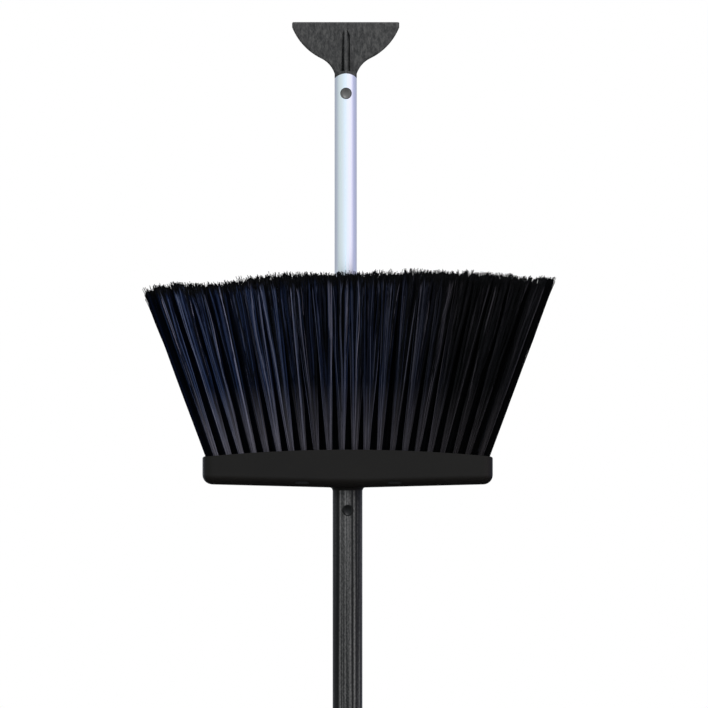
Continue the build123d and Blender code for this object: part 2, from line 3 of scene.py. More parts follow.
import bpy
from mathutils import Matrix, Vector


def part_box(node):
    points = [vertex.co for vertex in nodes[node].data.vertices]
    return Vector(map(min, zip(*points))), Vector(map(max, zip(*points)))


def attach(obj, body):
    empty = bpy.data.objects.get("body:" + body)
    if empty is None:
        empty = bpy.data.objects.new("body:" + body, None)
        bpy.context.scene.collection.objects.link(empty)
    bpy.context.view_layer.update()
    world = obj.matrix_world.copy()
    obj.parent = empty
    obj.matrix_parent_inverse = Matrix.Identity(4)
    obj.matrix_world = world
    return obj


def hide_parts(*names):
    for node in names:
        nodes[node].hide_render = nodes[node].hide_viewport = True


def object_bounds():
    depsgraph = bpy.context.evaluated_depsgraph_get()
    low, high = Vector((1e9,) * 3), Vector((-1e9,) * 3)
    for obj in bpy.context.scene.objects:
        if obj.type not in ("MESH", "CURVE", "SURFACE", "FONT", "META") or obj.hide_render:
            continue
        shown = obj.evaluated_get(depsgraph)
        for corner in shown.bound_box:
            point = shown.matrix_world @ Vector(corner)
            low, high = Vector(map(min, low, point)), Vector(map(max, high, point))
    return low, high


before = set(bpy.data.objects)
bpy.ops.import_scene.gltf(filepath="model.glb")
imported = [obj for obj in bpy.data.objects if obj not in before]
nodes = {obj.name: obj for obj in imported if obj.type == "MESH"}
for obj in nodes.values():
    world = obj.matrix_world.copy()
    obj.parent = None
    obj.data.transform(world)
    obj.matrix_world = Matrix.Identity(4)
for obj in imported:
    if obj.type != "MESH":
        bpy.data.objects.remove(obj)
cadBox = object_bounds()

mm = 0.001
setTop = cadBox[1].z


def hexColour(text):
    # sRGB hex to the linear colour that the sockets hold
    parts = [int(text[i:i + 2], 16) / 255 for i in (1, 3, 5)]
    linear = [c / 12.92 if c <= 0.04045 else ((c + 0.055) / 1.055) ** 2.4 for c in parts]
    return (*linear, 1.0)


def addNode(tree, kind, settings=None, links=None):
    # settings name a property or an input, a hex string is a colour, and stops are a ramp's
    # positions and colours; links take an input to another node's socket. On a Mix node input 0
    # is the factor, 4 and 5 are vectors with output 1, and 6 and 7 are colours with output 2.
    node = tree.nodes.new(kind)
    settings = dict(settings or {})
    stops = settings.pop("stops", [])
    for key, value in settings.items():
        if isinstance(key, str) and hasattr(node, key):
            setattr(node, key, value)
        else:
            isColour = isinstance(value, str) and value.startswith("#")
            node.inputs[key].default_value = hexColour(value) if isColour else value
    for i, (position, colour) in enumerate(stops):
        elements = node.color_ramp.elements
        element = elements[i] if i < len(elements) else elements.new(position)
        element.position, element.color = position, hexColour(colour)
    for key, source in (links or {}).items():
        tree.links.new(source, node.inputs[key])
    return node


def newMaterial(name, settings):
    # a Principled surface with plain values on its own sockets, and its object coordinates
    material = bpy.data.materials.new(name)
    material.use_nodes = True
    tree = material.node_tree
    shader = tree.nodes["Principled BSDF"]
    for key, value in settings.items():
        shader.inputs[key].default_value = value
    points = addNode(tree, "ShaderNodeTexCoord").outputs["Object"]
    return material, tree, shader, points


def finishSurface(tree, shader, pattern, look):
    # the fine pattern of a finish drives its roughness and its bump; a look's sizes are in mm
    rough = addNode(tree, "ShaderNodeMapRange", {"To Min": look["rough"][0],
                                                 "To Max": look["rough"][1]}, {"Value": pattern})
    bump = addNode(tree, "ShaderNodeBump", {"Strength": look["strength"],
                                            "Distance": look["depth"] * mm}, {"Height": pattern})
    tree.links.new(rough.outputs["Result"], shader.inputs["Roughness"])
    tree.links.new(bump.outputs["Normal"], shader.inputs["Normal"])


def mouldedPlastic(name, look):
    # moulded polypropylene, nylon or acetal: soft satin gloss with the spark-eroded grain of
    # its mould, and a slow drift of tone from the melt. The real grain is about 0.2 mm; each
    # look draws it three or four times as coarse, so that it shows.
    driftSize = 45 * mm
    material, tree, shader, points = newMaterial(name, {"IOR": 1.49,
                                                        "Specular IOR Level": look["gloss"]})
    fine = addNode(tree, "ShaderNodeTexNoise",
                   {"Scale": 1 / (look["grain"] * mm), "Detail": 3.0, "Roughness": 0.6},
                   {"Vector": points})
    drift = addNode(tree, "ShaderNodeTexNoise", {"Scale": 1 / driftSize, "Detail": 2.0},
                    {"Vector": points})
    tone = addNode(tree, "ShaderNodeValToRGB",
                   {"stops": [(0.2, look["colours"][0]), (0.8, look["colours"][1])]},
                   {"Fac": drift.outputs["Fac"]})
    tree.links.new(tone.outputs["Color"], shader.inputs["Base Color"])
    finishSurface(tree, shader, fine.outputs["Fac"], look)
    return material


def mottledGrip():
    # dark grey polypropylene with a leathery eroded grain: soft lighter streaks and dark flecks
    look = {"streak": 2.3, "fleck": 0.8, "fleckShare": 0.6, "stretch": 0.38, "depth": 0.10,
            "strength": 0.5, "rough": (0.5, 0.7),
            "tones": [(0.58, "#272727"), (0.8, "#3a3a3a"), (1.0, "#4c4c4b")]}
    material, tree, shader, points = newMaterial("greyPolypropylene",
                                                 {"IOR": 1.49, "Specular IOR Level": 0.2})
    long = addNode(tree, "ShaderNodeMapping", {"Scale": (1, 1, look["stretch"])},
                   {"Vector": points})
    streak = addNode(tree, "ShaderNodeTexNoise", {"Scale": 1 / (look["streak"] * mm),
                                                  "Detail": 3.0, "Roughness": 0.6},
                     {"Vector": long.outputs["Vector"]})
    fleck = addNode(tree, "ShaderNodeTexNoise", {"Scale": 1 / (look["fleck"] * mm), "Detail": 2.0},
                    {"Vector": long.outputs["Vector"]})
    blend = addNode(tree, "ShaderNodeMath", {"operation": "MULTIPLY_ADD",
                                             1: look["fleckShare"]},
                    {0: fleck.outputs["Fac"], 2: streak.outputs["Fac"]})
    tone = addNode(tree, "ShaderNodeValToRGB", {"stops": look["tones"]},
                   {"Fac": blend.outputs["Value"]})
    tree.links.new(tone.outputs["Color"], shader.inputs["Base Color"])
    finishSurface(tree, shader, fleck.outputs["Fac"], look)
    return material


def anodisedAluminium():
    # drawn tube, etched and anodised: bright and even, with faint drawing lines along it,
    # which are drawn wider than the real scratches so that they show
    look = {"line": 0.9, "length": 120, "tones": [(0.3, "#eef4f8"), (0.7, "#f6f3fb")],
            "rough": (0.24, 0.33), "strength": 0.06, "depth": 0.02}
    material, tree, shader, points = newMaterial("anodisedAluminium", {"Metallic": 1.0})
    drawn = addNode(tree, "ShaderNodeMapping", {"Scale": (1, 1, look["line"] / look["length"])},
                    {"Vector": points})
    lines = addNode(tree, "ShaderNodeTexNoise", {"Scale": 1 / (look["line"] * mm), "Detail": 3.0},
                    {"Vector": drawn.outputs["Vector"]})
    tone = addNode(tree, "ShaderNodeValToRGB", {"stops": look["tones"]},
                   {"Fac": lines.outputs["Fac"]})
    tree.links.new(tone.outputs["Color"], shader.inputs["Base Color"])
    finishSurface(tree, shader, lines.outputs["Fac"], look)
    return material


def paintedSteel():
    # thin painted steel tube: black with long pale streaks along it, which are painted
    # reflections, and a dusty grain, coarser here than real dust
    look = {"streak": 2.4, "length": 420, "speck": 0.8, "speckStretch": 0.4, "speckShare": 0.3,
            "rough": (0.3, 0.46), "strength": 0.25, "depth": 0.03,
            # the pale tones are painted reflections, and the shift turns the palest of them to
            # where the tube faces the camera
            "tones": [(0.48, "#0a0a0a"), (0.62, "#202020"), (0.72, "#404040"), (0.86, "#6c6c6c")],
            "shift": (83 * mm, 17 * mm, 0)}   # brings the palest streaks to the middle in front
    material, tree, shader, points = newMaterial("paintedSteel", {"IOR": 1.5,
                                                                  "Specular IOR Level": 0.13})
    long = addNode(tree, "ShaderNodeMapping", {"Scale": (1, 1, look["streak"] / look["length"]),
                                               "Location": look["shift"]}, {"Vector": points})
    streak = addNode(tree, "ShaderNodeTexNoise", {"Scale": 1 / (look["streak"] * mm),
                                                  "Detail": 3.0, "Roughness": 0.6},
                     {"Vector": long.outputs["Vector"]})
    short = addNode(tree, "ShaderNodeMapping", {"Scale": (1, 1, look["speckStretch"])},
                    {"Vector": points})
    speck = addNode(tree, "ShaderNodeTexNoise", {"Scale": 1 / (look["speck"] * mm), "Detail": 3.0},
                    {"Vector": short.outputs["Vector"]})
    blend = addNode(tree, "ShaderNodeMath", {"operation": "MULTIPLY_ADD",
                                             1: look["speckShare"]},
                    {0: speck.outputs["Fac"], 2: streak.outputs["Fac"]})
    tone = addNode(tree, "ShaderNodeValToRGB", {"stops": look["tones"]},
                   {"Fac": blend.outputs["Value"]})
    tree.links.new(tone.outputs["Color"], shader.inputs["Base Color"])
    finishSurface(tree, shader, speck.outputs["Fac"], look)
    return material


def zincSteel(name, rough):
    # bright zinc on steel, or bare spring strip: slightly mottled metal
    look = {"cloud": 1.2, "tones": [(0.3, "#a9adb2"), (0.7, "#d2d5d8")], "rough": rough,
            "strength": 0.15, "depth": 0.02}
    material, tree, shader, points = newMaterial(name, {"Metallic": 1.0})
    cloud = addNode(tree, "ShaderNodeTexNoise", {"Scale": 1 / (look["cloud"] * mm), "Detail": 4.0},
                    {"Vector": points})
    tone = addNode(tree, "ShaderNodeValToRGB", {"stops": look["tones"]},
                   {"Fac": cloud.outputs["Fac"]})
    tree.links.new(tone.outputs["Color"], shader.inputs["Base Color"])
    finishSurface(tree, shader, cloud.outputs["Fac"], look)
    return material


def softRubber():
    # thermoplastic rubber: dull black, a trace of dust and a fine matt skin, drawn coarser
    # than it is so that it shows
    look = {"skin": 0.8, "tones": [(0.3, "#121213"), (0.75, "#1e1e20")], "rough": (0.6, 0.85),
            "strength": 0.3, "depth": 0.05}
    material, tree, shader, points = newMaterial("softRubber", {"IOR": 1.5,
                                                                "Specular IOR Level": 0.25})
    skin = addNode(tree, "ShaderNodeTexNoise", {"Scale": 1 / (look["skin"] * mm), "Detail": 4.0},
                   {"Vector": points})
    tone = addNode(tree, "ShaderNodeValToRGB", {"stops": look["tones"]},
                   {"Fac": skin.outputs["Fac"]})
    tree.links.new(tone.outputs["Color"], shader.inputs["Base Color"])
    finishSurface(tree, shader, skin.outputs["Fac"], look)
    return material


def bristleFibre(name, look):
    # extruded polyester bristle: smooth solid fibre, navy on the left and darker, near-black,
    # towards the right, near-black and dull where it is flagged at its end; its pale strands are
    # painted highlights, and the outer tufts carry a painted sheen near their holes, where light
    # falls on them;
    # the pairs are shares of the fibre's length from its root
    wearAndSheen = {"mixHalf": 90 * mm, "paintedRootSheen": (0.03, 0.42), "leastRootSheen": 0.4,
            "darkTip": (0.945, 0.98), "tip": "#020203", "dull": (0.6, 0.96), "rough": (0.38, 0.75)}
    material, tree, shader, points = newMaterial(name, {"IOR": 1.57,
                                                        "Specular IOR Level": look["gloss"]})
    shade = addNode(tree, "ShaderNodeAttribute", {"attribute_name": "fibreShade"}).outputs["Fac"]
    along = addNode(tree, "ShaderNodeAttribute", {"attribute_name": "fibreAlong"}).outputs["Fac"]
    place = addNode(tree, "ShaderNodeSeparateXYZ", links={0: points})
    across = addNode(tree, "ShaderNodeMapRange", {"From Min": -wearAndSheen["mixHalf"],
                                                  "From Max": wearAndSheen["mixHalf"]},
                     {"Value": place.outputs["X"]}).outputs["Result"]
    # the tone picks a colour from each ramp, whose pale end is a painted highlight on the strand
    left = addNode(tree, "ShaderNodeValToRGB", {"stops": look["left"]}, {"Fac": shade})
    right = addNode(tree, "ShaderNodeValToRGB", {"stops": look["right"]}, {"Fac": shade})
    tone = addNode(tree, "ShaderNodeMix", {"data_type": "RGBA"},
                   {0: across, 6: left.outputs["Color"], 7: right.outputs["Color"]})
    # painted sheen at the roots, where light falls on the front of the outer tufts; the rows behind
    # get near-black roots as painted shade
    paintedRootSheen = addNode(tree, "ShaderNodeMix", {"data_type": "RGBA", 6: look["roots"][0],
                                             7: look["roots"][1]}, {0: across})
    nearRoot = addNode(tree, "ShaderNodeMapRange", {"From Min": wearAndSheen["paintedRootSheen"][0],
                                                    "From Max": wearAndSheen["paintedRootSheen"][1],
                                                    "To Min": 1.0, "To Max": 0.0},
                       {"Value": along})
    uneven = addNode(tree, "ShaderNodeMapRange", {"To Min": wearAndSheen["leastRootSheen"], "To Max": 1.0},
                     {"Value": shade})
    fade = addNode(tree, "ShaderNodeMath", {"operation": "MULTIPLY"},
                   {0: nearRoot.outputs["Result"], 1: uneven.outputs["Result"]})
    lower = addNode(tree, "ShaderNodeMix", {"data_type": "RGBA"},
                    {0: fade.outputs["Value"], 6: tone.outputs[2], 7: paintedRootSheen.outputs[2]})
    nearTip = addNode(tree, "ShaderNodeMapRange", {"From Min": wearAndSheen["darkTip"][0],
                                                   "From Max": wearAndSheen["darkTip"][1]},
                      {"Value": along})
    tip = addNode(tree, "ShaderNodeMix", {"data_type": "RGBA", 7: wearAndSheen["tip"]},
                  {0: nearTip.outputs["Result"], 6: lower.outputs[2]})
    dull = addNode(tree, "ShaderNodeMapRange", {"From Min": wearAndSheen["dull"][0],
                                                "From Max": wearAndSheen["dull"][1],
                                                "To Min": wearAndSheen["rough"][0],
                                                "To Max": wearAndSheen["rough"][1]},
                   {"Value": along})
    tree.links.new(tip.outputs[2], shader.inputs["Base Color"])
    tree.links.new(dull.outputs["Result"], shader.inputs["Roughness"])
    return material


def dressCadNodes():
    plastics = {
        "blackPolypropylene": {"colours": ("#151516", "#1c1c1d"), "gloss": 0.35, "grain": 0.9,
                               "rough": (0.36, 0.5), "strength": 0.35, "depth": 0.05},
        "blackNylon": {"colours": ("#131314", "#18181a"), "gloss": 0.4, "grain": 0.7,
                       "rough": (0.3, 0.44), "strength": 0.35, "depth": 0.03},
        "satinPolypropylene": {"colours": ("#0e0b08", "#120f0c"), "gloss": 0.19, "grain": 0.9,
                               "rough": (0.4, 0.53), "strength": 0.35, "depth": 0.03},
        "greyAcetal": {"colours": ("#505050", "#5c5c5b"), "gloss": 0.4, "grain": 0.6,
                       "rough": (0.34, 0.48), "strength": 0.3, "depth": 0.02},
        "blackAcetal": {"colours": ("#080808", "#0d0d0d"), "gloss": 0.18, "grain": 0.6,
                        "rough": (0.38, 0.5), "strength": 0.3, "depth": 0.02},
    }
    made = {name: mouldedPlastic(name, look) for name, look in plastics.items()}
    made["rubber"] = softRubber()
    made["zinc"] = zincSteel("zincPlatedSteel", (0.23, 0.38))
    made["strip"] = zincSteel("springSteel", (0.3, 0.45))
    made["silver"] = anodisedAluminium()
    made["painted"] = paintedSteel()
    made["mottled"] = mottledGrip()
    finishes = {
        "blackPolypropylene": ("pan_body", "bristle_comb", "end_cap"),
        "blackNylon": ("hinge_bracket", "handle_socket", "broom_clip"),
        "satinPolypropylene": ("head_cover", "tuft_block"),
        "greyAcetal": ("socket_button", "grip_button"),
        "blackAcetal": ("broom_button",),
        "rubber": ("pan_lip",),
        "zinc": ("bracket_screws", "hinge_pin", "pin_cap", "clip_screw", "clip_nut"),
        "strip": ("socket_spring", "grip_spring", "broom_spring", "tuft_staples"),
        "silver": ("pan_tube",),
        "painted": ("broom_tube",),
        "mottled": ("fan_grip",),
    }
    for finish, names in finishes.items():
        for name in names:
            for materialSlot in nodes[name].material_slots:
                materialSlot.material = made[finish]
        print("finish", finish, "on", ", ".join(names))


broomHead = {
    "crown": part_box("head_cover")[1].z,       # the rim's height at the middle of its arch
    "axisY": (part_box("broom_tube")[0].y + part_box("broom_tube")[1].y) / 2,
    "arch": 6 * mm,            # the face drops by this at the head's ends
    "recess": 1.5 * mm,        # the drilled face lies this far under the rim
    "halfLength": 123.3 * mm,
    "span": 233.2 * mm,        # first to last tuft of a full row
    "columns": 23,
    "rows": 4,
    "rowPitch": 10 * mm,
    "leanX": 19.8,             # degrees that the end tufts lean out
    "leanY": 3.8,              # degrees that the outer rows lean to the front and the back
    "trim": 148.3 * mm,        # the new bristles' height over the rim
    # what wear took from that height, in mm, from one side (-1) to the other (1)
    "wornLine": [(-1, -14.4), (-0.8, -9.6), (-0.62, -8.9), (-0.45, -3.0), (0, -1.5), (0.3, 1.0),
                 (0.6, 0.4), (0.82, -3.3), (1, -6.2)],
    "wornRange": 40,           # mm that the worn curve's 0 to 1 stands for
    "fibres": 112,             # in a tuft, fewer and thicker than real ones, so that they show
    "fibreRadius": 0.27 * mm,
    "fibreSides": 3,
    "thinning": 0.25,          # a fibre loses this share of its radius towards its tip
    "rootDepth": 3 * mm,       # below the drilled face
    "rootLooseness": 0.5,      # the least looseness of a strand in its hole
    "clumps": 36,              # fibres of a tuft cling together in this many strands
    # the outer rows are gathered into strands, and the rows behind are loose and fill the gaps
    "showing": {"Hole Radius": 2.65 * mm, "Tip Radius": 7.6 * mm, "Looseness": 0.06,
                "Sway": 1.5 * mm},
    "hidden": {"Hole Radius": 3.7 * mm, "Tip Radius": 8.2 * mm, "Looseness": 0.8,
               "Sway": 0.6 * mm},
    "spread": (1.45, 0.6),     # middle tufts open wider, and end tufts by that much less
    "ragged": 4.0 * mm,        # the unit of the three jags
    "jagTuft": (-0.5, 0.5),
    "jagStrand": (-0.9, 0.9),
    "jagFibre": (-0.45, 0.3),
    "beats": (0.8, 2.4),       # waves along a fibre
    "waveGrowth": 1.1,
    "curl": 1.8 * mm,          # the crinkle at a tip, sideways
    "curlUp": (-0.6, 0.2),     # and upwards, as a share of it
    "curlFrom": 0.93,          # share of the length where the crinkle starts
    # a fibre's tone is random and picks its colour; its pale end stands for painted highlights on
    # the strands
    "strandShade": 0.8,        # of a fibre's shade, the part that its whole strand shares
    "segments": 12,
    "endCrowding": 1.7,        # gathers a fibre's segments towards its crinkled end
    "seed": 7,
    "seedStep": 20000,         # keeps the random draws of two rows apart
}
# the outer rows' fibre: its ramps run up to pale colours that are painted highlights, and its roots
# carry a painted sheen where light falls on the outer tufts
litOuterBristle = {
    "gloss": 0.10,
    "left": [(0.3, "#03050c"), (0.5, "#0b142d"), (0.68, "#273657"), (0.84, "#555d76"),
             (1.0, "#8d8a9e")],
    "right": [(0.4, "#010102"), (0.6, "#0a090d"), (0.8, "#212024"), (1.0, "#454248")],
    "roots": ("#706e78", "#343134"),
}
# the same fibre for the rows behind, painted darker all over as painted shade, since the outer rows
# hide them from the light
shadedInnerBristle = {
    "gloss": 0.05,
    "left": [(0.3, "#02040a"), (0.7, "#080f22"), (1.0, "#131f39")],
    "right": [(0.5, "#010102"), (0.8, "#040405"), (1.0, "#0b0b0d")],
    "roots": ("#040406", "#030304"),
}


def bristleTree(head):
    # one row of tufts: every fibre is a thin tube from its hole to the trimmed edge
    tree = bpy.data.node_groups.new("bristleRow", "GeometryNodeTree")
    tree.is_modifier = True
    tree.interface.new_socket("Geometry", in_out="OUTPUT", socket_type="NodeSocketGeometry")
    # the plain numbers are only stand-ins, which each row sets for itself
    for name, value in (
            ("Tufts", head["columns"]), ("Fibres", head["fibres"]), ("Clumps", head["clumps"]),
            ("Seed", head["seed"]), ("Pitch", 0.01), ("Row", 0.0), ("Row Slope", 0.0),
            ("Axis Y", head["axisY"]), ("Face", 0.0), ("Trim", 0.0), ("Hole Radius", 0.003),
            ("Tip Radius", 0.007), ("Fibre Radius", head["fibreRadius"]), ("Looseness", 0.1),
            ("Sway", 0.001), ("Ragged", head["ragged"]), ("Curl", head["curl"])):
        kind = "NodeSocketInt" if isinstance(value, int) else "NodeSocketFloat"
        tree.interface.new_socket(name, in_out="INPUT", socket_type=kind).default_value = value
    tree.interface.new_socket("Material", in_out="INPUT", socket_type="NodeSocketMaterial")
    known = {socket.name: socket for socket in addNode(tree, "NodeGroupInput").outputs}
    known["index"] = addNode(tree, "GeometryNodeInputIndex").outputs[0]

    def work(rows):
        # a row is the result's name, what to do, and its numbers or earlier results; the last
        # number of a RANDOM row keeps its draw apart from the other draws of the same owner
        for result, action, *inputs in rows:
            kind, settings, places, out = "ShaderNodeMath", {"operation": action}, range(3), 0
            if action == "RANDOM":
                kind, settings = "FunctionNodeRandomValue", {"data_type": "FLOAT"}
                places, out = (2, 3, "ID", "Seed"), 1
            elif action == "XYZ":
                kind, settings = "ShaderNodeCombineXYZ", {}
            elif action.startswith("VECTOR "):
                kind, settings = "ShaderNodeVectorMath", {"operation": action[7:]}
            links = {}
            for place, source in zip(places, inputs):
                (links if isinstance(source, str) else settings)[place] = known.get(source, source)
            known[result] = addNode(tree, kind, settings, links).outputs[out]

    archAtEnd = head["arch"] * (head["span"] / 2 / head["halfLength"]) ** 2
    work([
        # which tuft and strand a fibre belongs to
        ("seedShift", "MULTIPLY", "Seed", head["seedStep"]),
        ("fibreId", "ADD", "index", "seedShift"),
        ("tuftRatio", "DIVIDE", "index", "Fibres"),
        ("tuft", "FLOOR", "tuftRatio"),
        ("tuftId", "ADD", "tuft", "seedShift"),
        ("pick", "RANDOM", 0.0, 0.9999, "fibreId", 1),     # never quite 1, or a strand too many
        ("pickOf", "MULTIPLY", "pick", "Clumps"),
        ("strand", "FLOOR", "pickOf"),
        ("clump", "MULTIPLY_ADD", "tuft", "Clumps", "strand"),
        ("clumpId", "ADD", "clump", "seedShift"),
        # the tuft's foot on the arched face and its lean
        ("last", "SUBTRACT", "Tufts", 1.0),
        ("fromMiddle", "MULTIPLY_ADD", "last", -0.5, "tuft"),
        ("footX", "MULTIPLY", "fromMiddle", "Pitch"),
        ("share", "DIVIDE", "footX", head["span"] / 2),
        ("squared", "MULTIPLY", "share", "share"),
        ("footZ", "MULTIPLY_ADD", "squared", -archAtEnd, "Face"),
        ("angle", "MULTIPLY", "share", math.radians(head["leanX"])),
        ("lean", "TANGENT", "angle"),
        ("wornAt", "MULTIPLY_ADD", "share", 0.5, 0.5),
    ])
    worn = addNode(tree, "ShaderNodeFloatCurve", links={"Value": known["wornAt"]})
    places = [((x + 1) / 2, 0.5 + drop / head["wornRange"]) for x, drop in head["wornLine"]]
    curve = worn.mapping.curves[0]
    curve.points[0].location, curve.points[1].location = places[0], places[-1]
    for place in places[1:-1]:
        curve.points.new(*place)
    worn.mapping.update()
    known["worn"] = worn.outputs[0]
    rows = [
        # the height a fibre is cut to, ragged by tuft, strand and fibre
        ("jagTuft", "RANDOM", *head["jagTuft"], "tuftId", 41),
        ("jagClump", "RANDOM", *head["jagStrand"], "clumpId", 42),
        ("jagFibre", "RANDOM", *head["jagFibre"], "fibreId", 43),
        ("jagTwo", "ADD", "jagTuft", "jagClump"),
        ("jag", "ADD", "jagTwo", "jagFibre"),
        ("jagged", "MULTIPLY_ADD", "jag", "Ragged", "Trim"),
        ("wornBy", "SUBTRACT", "worn", 0.5),
        ("topZ", "MULTIPLY_ADD", "wornBy", head["wornRange"] * mm, "jagged"),
        ("rise", "SUBTRACT", "topZ", "footZ"),
        ("widen", "MULTIPLY_ADD", "squared", -head["spread"][1], head["spread"][0]),
        ("wide", "MULTIPLY", "Tip Radius", "widen"),
        ("rowY", "ADD", "Axis Y", "Row"),
        ("rowTopY", "MULTIPLY_ADD", "rise", "Row Slope", "rowY"),
        ("rowTopX", "MULTIPLY_ADD", "rise", "lean", "footX"),
        ("rootZ", "SUBTRACT", "footZ", head["rootDepth"]),
        ("rootLoose", "MAXIMUM", "Looseness", head["rootLooseness"]),
    ]
    for name, owner, draw in (("strandDisc", "clumpId", 11), ("fibreDisc", "fibreId", 21),
                              ("swayDisc", "clumpId", 51), ("curlDisc", "fibreId", 81)):
        rows += [                             # an even random place in a disc of radius 1
            (name + "Turn", "RANDOM", 0.0, 2 * math.pi, owner, draw),
            (name + "Area", "RANDOM", 0.0, 1.0, owner, draw + 1),
            (name + "Reach", "SQRT", name + "Area"),
            (name + "Cosine", "COSINE", name + "Turn"),
            (name + "Sine", "SINE", name + "Turn"),
            (name + "X", "MULTIPLY", name + "Reach", name + "Cosine"),
            (name + "Y", "MULTIPLY", name + "Reach", name + "Sine"),
        ]
    for axis in "XY":
        rows += [
            ("own" + axis, "SUBTRACT", "fibreDisc" + axis, "strandDisc" + axis),
            ("inHole" + axis, "MULTIPLY_ADD", "own" + axis, "rootLoose", "strandDisc" + axis),
            ("inTip" + axis, "MULTIPLY_ADD", "own" + axis, "Looseness", "strandDisc" + axis),
        ]
    rows += [
        ("rootX", "MULTIPLY_ADD", "inHoleX", "Hole Radius", "footX"),
        ("rootY", "MULTIPLY_ADD", "inHoleY", "Hole Radius", "rowY"),
        ("topX", "MULTIPLY_ADD", "inTipX", "wide", "rowTopX"),
        ("topY", "MULTIPLY_ADD", "inTipY", "Tip Radius", "rowTopY"),
        ("fibreRoot", "XYZ", "rootX", "rootY", "rootZ"),
        ("fibreTop", "XYZ", "topX", "topY", "topZ"),
        ("swayX", "MULTIPLY", "swayDiscX", "Sway"),
        ("swayY", "MULTIPLY", "swayDiscY", "Sway"),
        ("fibreSway", "XYZ", "swayX", "swayY", 0.0),
        ("curlUp", "RANDOM", *head["curlUp"], "fibreId", 83),
        ("curlX", "MULTIPLY", "curlDiscX", "Curl"),
        ("curlY", "MULTIPLY", "curlDiscY", "Curl"),
        ("curlZ", "MULTIPLY", "curlUp", "Curl"),
        ("fibreCurl", "XYZ", "curlX", "curlY", "curlZ"),
        ("fibrePhase", "RANDOM", 0.0, 2 * math.pi, "clumpId", 61),
        ("fibreBeats", "RANDOM", *head["beats"], "clumpId", 63),
        # the random tone that picks a fibre's colour; its pale end is a painted highlight on the
        # strand
        ("shadeClump", "RANDOM", 0.0, head["strandShade"], "clumpId", 71),
        ("shadeFibre", "RANDOM", 0.0, 1 - head["strandShade"], "fibreId", 73),
        ("fibreShade", "ADD", "shadeClump", "shadeFibre"),
        ("count", "MULTIPLY", "Tufts", "Fibres"),
    ]
    work(rows)

    carried = {"fibreRoot": "FLOAT_VECTOR", "fibreTop": "FLOAT_VECTOR",
               "fibreSway": "FLOAT_VECTOR", "fibreCurl": "FLOAT_VECTOR",
               "fibrePhase": "FLOAT", "fibreBeats": "FLOAT", "fibreShade": "FLOAT"}
    points = addNode(tree, "GeometryNodePoints", links={"Count": known["count"]})
    for name, kind in carried.items():
        points = addNode(tree, "GeometryNodeStoreNamedAttribute",
                         {"data_type": kind, "domain": "POINT", "Name": name},
                         {"Geometry": points.outputs[0], "Value": known[name]})
    line = addNode(tree, "GeometryNodeCurvePrimitiveLine", {"Start": (0, 0, 0), "End": (0, 0, 1)})
    parted = addNode(tree, "GeometryNodeResampleCurve", {"Count": head["segments"] + 1},
                     {"Curve": line.outputs[0]})
    laid = addNode(tree, "GeometryNodeInstanceOnPoints",
                   links={"Points": points.outputs[0], "Instance": parted.outputs[0]})
    real = addNode(tree, "GeometryNodeRealizeInstances", links={0: laid.outputs[0]})
    known["factor"] = addNode(tree, "GeometryNodeSplineParameter").outputs["Factor"]
    work([
        ("toGo", "SUBTRACT", 1.0, "factor"),
        ("toGoCrowded", "POWER", "toGo", head["endCrowding"]),
        ("crowded", "SUBTRACT", 1.0, "toGoCrowded"),
    ])
    measured = addNode(tree, "GeometryNodeStoreNamedAttribute",
                       {"data_type": "FLOAT", "domain": "POINT", "Name": "fibreAlong"},
                       {"Geometry": real.outputs[0], "Value": known["crowded"]})
    for name, kind in {**carried, "fibreAlong": "FLOAT"}.items():
        known[name] = addNode(tree, "GeometryNodeInputNamedAttribute",
                              {"data_type": kind, "Name": name}).outputs[0]
    known["straight"] = addNode(tree, "ShaderNodeMix", {"data_type": "VECTOR"},
                                {0: known["fibreAlong"], 4: known["fibreRoot"],
                                 5: known["fibreTop"]}).outputs[1]
    work([
        # a slow wave that grows along the fibre, and a crinkle at its end
        ("turns", "MULTIPLY", "fibreAlong", 2 * math.pi),
        ("beat", "MULTIPLY_ADD", "turns", "fibreBeats", "fibrePhase"),
        ("swing", "SINE", "beat"),
        ("growth", "POWER", "fibreAlong", head["waveGrowth"]),
        ("wave", "MULTIPLY", "swing", "growth"),
        ("waveXy", "XYZ", "wave", "wave", 0.0),
        ("waved", "VECTOR MULTIPLY", "fibreSway", "waveXy"),
        ("late", "SUBTRACT", "fibreAlong", head["curlFrom"]),
        ("lateShare", "DIVIDE", "late", 1 - head["curlFrom"]),
        ("crinkle", "MAXIMUM", "lateShare", 0.0),
        ("crinkleXyz", "XYZ", "crinkle", "crinkle", "crinkle"),
        ("curled", "VECTOR MULTIPLY", "fibreCurl", "crinkleXyz"),
        ("wavy", "VECTOR ADD", "straight", "waved"),
        ("bent", "VECTOR ADD", "wavy", "curled"),
        ("taper", "MULTIPLY_ADD", "fibreAlong", -head["thinning"], 1.0),
    ])
    placed = addNode(tree, "GeometryNodeSetPosition", links={"Geometry": measured.outputs[0],
                                                             "Position": known["bent"]})
    thin = addNode(tree, "GeometryNodeSetCurveRadius", links={"Curve": placed.outputs[0],
                                                              "Radius": known["taper"]})
    ring = addNode(tree, "GeometryNodeCurvePrimitiveCircle", {"Resolution": head["fibreSides"]},
                   {"Radius": known["Fibre Radius"]})
    tubes = addNode(tree, "GeometryNodeCurveToMesh", {"Fill Caps": True},
                    {"Curve": thin.outputs[0], "Profile Curve": ring.outputs[0]})
    smooth = addNode(tree, "GeometryNodeSetShadeSmooth", links={"Geometry": tubes.outputs[0]})
    final = addNode(tree, "GeometryNodeRealizeInstances", links={0: smooth.outputs[0]})
    dressed = addNode(tree, "GeometryNodeSetMaterial",
                      links={"Geometry": final.outputs[0], "Material": known["Material"]})
    addNode(tree, "NodeGroupOutput", links={0: dressed.outputs[0]})
    return tree


